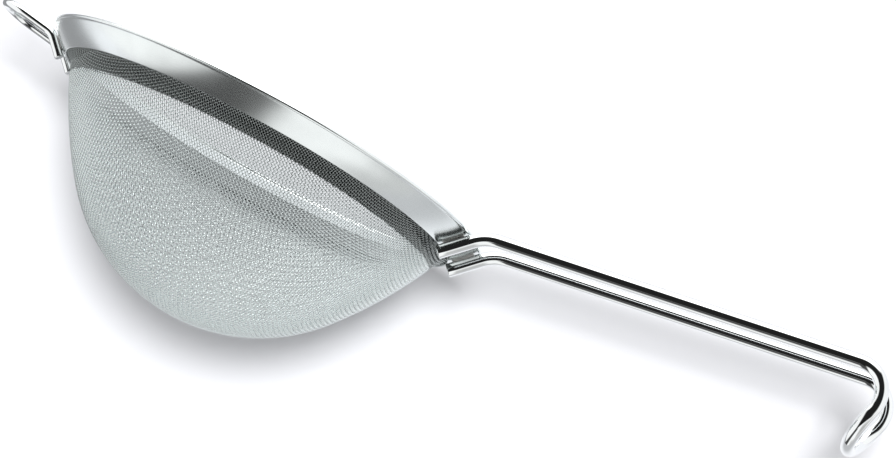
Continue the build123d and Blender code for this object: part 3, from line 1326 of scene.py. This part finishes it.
@dataclass
class Surroundings:
    """White surroundings, with what the bright steel mirrors.

    Each edge gives the directions between which a thing begins or ends: shares of the way to the
    picture's right (side), to its top (high) or back past the camera (near).

    Attributes:
        camera: The camera, for its directions.
        fill: Level of the light from all round.
        card_level: Level of the white cards that the steel mirrors.
        box_glow: How much brighter the soft box is.
        box_high: Lower edge of the soft box.
        box_near: Its far edge.
        flag_dark: How dark the black flag round the camera is.
        flag_low: Its lower edge.
        flag_high: Its upper edge.
        flag_near: Its far edge.
        flag_left: Its left edge.
        flag_right: Its right edge.
        post_dark: How dark the post is, which stands low on the left.
        post_turn: Direction of the post in the picture, in degrees.
        post_wide: Edge of its width, squared.
        post_past: Its near end.
        low_dark: How dark the surroundings are low behind the strainer.
        low_high: Upper edge of that.
        low_near: Near edge of that.
        low_side: Left edge of that.
        front_dark: How dark they are low in front of it.
        front_high: Upper edge of that.
        front_near: Far edge of that.
        front_side: Left edge of that.
    """

    camera: Camera
    fill: float = 0.40
    card_level: float = 1.12
    box_glow: float = 2.0
    box_high: Edge = (0.70, 0.85)
    box_near: Edge = (-0.75, -0.35)
    flag_dark: float = 0.985
    flag_low: Edge = (-0.54, -0.46)
    flag_high: Edge = (0.66, 0.74)
    flag_near: Edge = (0.25, 0.40)
    flag_left: Edge = (-0.75, -0.60)
    flag_right: Edge = (0.50, 0.70)
    post_dark: float = 0.93
    post_turn: float = -134.0
    post_wide: Edge = (0.02205, 0.07497)
    post_past: Edge = (0.60, 0.75)
    low_dark: float = 0.4
    low_high: Edge = (-0.90, -0.70)
    low_near: Edge = (-0.05, 0.15)
    low_side: Edge = (-0.35, -0.10)
    front_dark: float = 0.5
    front_high: Edge = (-0.85, -0.45)
    front_near: Edge = (-0.05, 0.15)
    front_side: Edge = (-0.05, 0.25)

    def mirrored(self, nodes: Nodes) -> Val:
        """What bright steel mirrors.

        Args:
            nodes: The world's node maker.

        Returns:
            The level in the mirrored direction.
        """
        right, up, back = self.camera.axes()
        way = nodes.add("ShaderNodeTexCoord", {}, {}).out("Generated")
        side, high, near = (nodes.along(way, axis) for axis in (right, up, back))
        soft_box = high.smooth(*self.box_high) * near.smooth(*self.box_near)
        low = (1 - high.smooth(*self.low_high)) * (1 - near.smooth(*self.low_near))
        low = low * side.smooth(*self.low_side)
        flag = high.smooth(*self.flag_low) * (1 - high.smooth(*self.flag_high))
        flag = flag * near.smooth(*self.flag_near) * (1 - side.smooth(*self.flag_right))
        flag = flag * side.smooth(*self.flag_left)
        turn = math.radians(self.post_turn)
        past = nodes.along(way, math.cos(turn) * right + math.sin(turn) * up)
        off = nodes.along(way, -math.sin(turn) * right + math.cos(turn) * up)
        post = (1 - (off * off).smooth(*self.post_wide)) * past.smooth(*self.post_past)
        front = (1 - high.smooth(*self.front_high)) * near.smooth(*self.front_near)
        front = front * side.smooth(*self.front_side)
        level = self.card_level + self.box_glow * soft_box
        level = level * (1 - self.flag_dark * flag) * (1 - self.post_dark * post)
        return level * (1 - self.low_dark * low) * (1 - self.front_dark * front)

    def build(self) -> None:
        """Makes the world: white to the camera, and cards and a soft box to the steel."""
        world = bpy.data.worlds.new("surroundings")
        world.use_nodes = True
        bpy.context.scene.world = world
        nodes = Nodes(world.node_tree)
        paths = nodes.add("ShaderNodeLightPath", {}, {})
        glossy = paths.out("Is Glossy Ray")
        seen = (paths.out("Is Camera Ray") + paths.out("Is Transmission Ray")).clamped()
        plain = (1 - (seen + glossy).clamped()) * self.fill
        level = seen + glossy * self.mirrored(nodes) + plain
        shade = nodes.add("ShaderNodeBackground", {}, {"Color": (1, 1, 1, 1), "Strength": level}).out()
        nodes.add("ShaderNodeOutputWorld", {}, {"Surface": shade})


@dataclass
class Table:
    """The white sheet that the strainer lies on, seen from its front side only.

    Attributes:
        camera: The camera, for its directions.
        up: Direction square to the sheet.
        half_size: Half the sheet's width, in metres.
        paper: The sheet's colour.
        glow: Level of light that it gives off itself.
        painted_reflection_dark: How dark the strip painted on the sheet looks in the steel; a painted
            reflection that only glossy rays see.
        painted_reflection_left: Left edge of that strip, in metres towards the picture's right.
        painted_reflection_right: Its right edge.
        painted_falloff_dark: How dark the sheet's lower part looks in the steel: painted shade of the light
            falling off, for glossy rays only.
        painted_falloff_edge: Where that part begins, in metres towards the picture's top.
    """

    camera: Camera
    up: tuple[float, float, float] = (0.0287, -0.981, -0.189)
    half_size: float = 0.55
    paper: Colour = (0.79, 0.795, 0.825)
    glow: float = 0.05
    painted_reflection_dark: float = 0.72
    painted_reflection_left: Edge = (-0.35, -0.30)
    painted_reflection_right: Edge = (-0.155, -0.125)
    painted_falloff_dark: float = 0.45
    painted_falloff_edge: Edge = (-0.30, -0.15)

    def sheet(self) -> bpy.types.Object:
        """The sheet, under the strainer's lowest point.

        Returns:
            The new object.
        """
        up = Vector(self.up).normalized()
        turn = up.to_track_quat("Z", "Y").to_matrix()
        middle = up * lowest_along(up)
        corners = [
            middle + turn @ Vector((x * self.half_size, y * self.half_size, 0))
            for x, y in ((-1, -1), (1, -1), (1, 1), (-1, 1))
        ]
        points = np.array([list(corner) for corner in corners])
        return make_object("table_sheet", points, [[0, 1, 2, 3]], smooth=False)

    def material(self) -> bpy.types.Material:
        """White paper, clear from behind; to the steel's reflections only, it shows a painted dark strip and
        painted shade on its lower part.

        Returns:
            The new material.
        """
        material, nodes = new_material("table_white")
        right, up, _ = self.camera.axes()
        behind = nodes.add("ShaderNodeNewGeometry", {}, {}).out("Backfacing")
        place = nodes.add("ShaderNodeTexCoord", {}, {}).out("Object")
        side, high = nodes.along(place, right), nodes.along(place, up)
        # painted reflection: a dark strip on the sheet, which only glossy rays see
        painted_reflection_strip = (1 - side.smooth(*self.painted_reflection_right)) * side.smooth(*self.painted_reflection_left)
        # painted shade: the sheet's lower part darker, as light falls off, for glossy rays only
        painted_falloff = 1 - high.smooth(*self.painted_falloff_edge)
        glossy = nodes.add("ShaderNodeLightPath", {}, {}).out("Is Glossy Ray")
        dark = (1 - (1 - self.painted_reflection_dark * painted_reflection_strip) * (1 - self.painted_falloff_dark * painted_falloff)) * glossy
        tone = nodes.mix(dark, self.paper, (0.0, 0.0, 0.0))
        paper = nodes.add("ShaderNodeBsdfDiffuse", {}, {"Color": tone}).out()
        glow = nodes.add("ShaderNodeEmission", {}, {"Color": (1, 1, 1, 1), "Strength": self.glow}).out()
        both = nodes.add("ShaderNodeAddShader", {}, {0: paper, 1: glow}).out()
        clear = nodes.add("ShaderNodeBsdfTransparent", {}, {}).out()
        front = nodes.add("ShaderNodeMixShader", {}, {0: behind, 1: both, 2: clear}).out()
        nodes.add("ShaderNodeOutputMaterial", {}, {"Surface": front})
        return material

    def build(self) -> None:
        """Lays the sheet under the strainer."""
        top = self.sheet()
        top.data.materials.append(self.material())


@dataclass
class Lamp:
    """One soft lamp in front of the table, a little above the camera.

    Attributes:
        camera: The camera, for its directions.
        level: Brightness of white paper that faces it.
        width: Width of the lamp, in degrees.
        right: How far it stands to the picture's right, as a share of its distance.
        up: How far it stands towards the picture's top, as a share of its distance.
        distance: Distance of its mark in the scene, in metres.
    """

    camera: Camera
    level: float = 0.92
    width: float = 12.0
    right: float = 0.055
    up: float = 0.130
    distance: float = 1.5

    def build(self) -> None:
        """Makes the lamp."""
        right, up, back = self.camera.axes()
        way = (back + right * self.right + up * self.up).normalized()
        data = bpy.data.lights.new("soft_lamp", "SUN")
        data.angle = math.radians(self.width)
        data.energy = self.level * math.pi
        lamp = bpy.data.objects.new("soft_lamp", data)
        lamp.location = way * self.distance
        lamp.rotation_mode = "QUATERNION"
        lamp.rotation_quaternion = way.to_track_quat("Z", "Y")
        lamp.visible_glossy = False
        bpy.context.scene.collection.objects.link(lamp)


def lowest_along(way: Vector) -> float:
    """How far the lowest point of the shown pieces lies along a direction.

    Args:
        way: The direction.

    Returns:
        The distance, in metres.
    """
    heights = []
    for piece in bpy.data.objects:
        if piece.type == "MESH" and not piece.hide_render:
            places = np.empty(len(piece.data.vertices) * 3, np.float32)
            piece.data.vertices.foreach_get("co", places)
            heights.append(float((places.reshape(-1, 3) @ np.array(way)).min()))
    return min(heights)


def main() -> None:
    """Builds the strainer's sub-assemblies in order, then the studio."""
    logging.basicConfig(level=logging.INFO, format="%(name)s: %(message)s")
    Rim().build()
    Cloth().build()
    Handle().build()
    PotRest().build()
    camera = Camera()
    camera.build()
    for part in (Surroundings(camera), Table(camera), Lamp(camera)):
        part.build()
    bpy.context.scene.view_settings.view_transform = "Standard"


if __name__ == "__main__":
    main()
